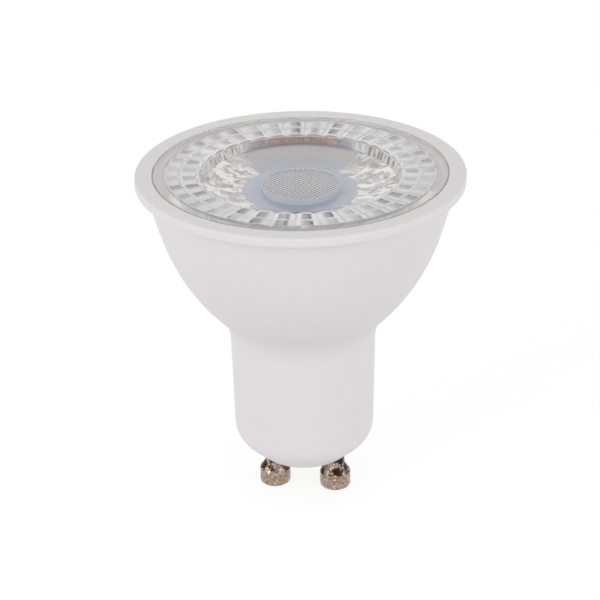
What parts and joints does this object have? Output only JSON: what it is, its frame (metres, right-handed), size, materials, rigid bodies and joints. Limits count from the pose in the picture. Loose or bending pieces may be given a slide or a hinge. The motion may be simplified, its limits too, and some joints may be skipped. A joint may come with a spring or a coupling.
{
  "type": "gu10 spotlight bulb",
  "caption": "Mains reflector spotlight bulb with white bowl body, faceted clear collimator lens and twin mushroom-head twist-lock pins.",
  "frame": {"origin": "on the lamp's axis at the level of the pins' feet", "axes": "+Z along the lamp's axis to the lens; the two contact pins stand on the X axis, 10 mm apart; the inner driver board is square to Y"},
  "size_m": [0.05, 0.05, 0.056],
  "materials": {
    "body_plastic": "fine satin moulded white",
    "lens_clear": "clear polished moulding",
    "pin_plating": "dull tarnished nickel plating on brass",
    "cup_coat": "pressed sheet with a white coat",
    "pad_silicone": "soft matt pad",
    "lamp_board_coat": "white coated face",
    "dam_silicone": "satin white bead",
    "phosphor": "smooth yellow fill",
    "screw_steel": "zinc plated",
    "board_laminate": "green coated glass-fibre sheet",
    "capacitor_sleeve": "shrunk dark sleeve",
    "film_case": "dipped case",
    "ferrite": "matt sintered",
    "winding_copper": "varnished copper wire",
    "resistor_coat": "smooth lacquer",
    "package_black": "moulded black",
    "chip_ceramic": "glazed",
    "wire_white": "smooth insulation"
  },
  "bodies": {
    "root": {"housing": "body_plastic", "lens": "lens_clear", "pin_left": "pin_plating", "pin_right": "pin_plating", "heat_cup": "cup_coat", "thermal_pad": "pad_silicone", "lamp_board": "lamp_board_coat", "emitter_dam": "dam_silicone", "emitter": "phosphor", "board_screw_left": "screw_steel", "board_screw_right": "screw_steel", "driver_board": "board_laminate", "bulk_capacitor": "capacitor_sleeve", "film_capacitor": "film_case", "choke_core": "ferrite", "choke_winding": "winding_copper", "fuse_resistor": "resistor_coat", "bridge_rectifier": "package_black", "driver_chip": "package_black", "fast_diode": "package_black", "sense_resistor_lower": "chip_ceramic", "sense_resistor_upper": "chip_ceramic", "input_wire_left": "wire_white", "input_wire_right": "wire_white", "output_wire_left": "wire_white", "output_wire_right": "wire_white"}
  },
  "joints": []
}
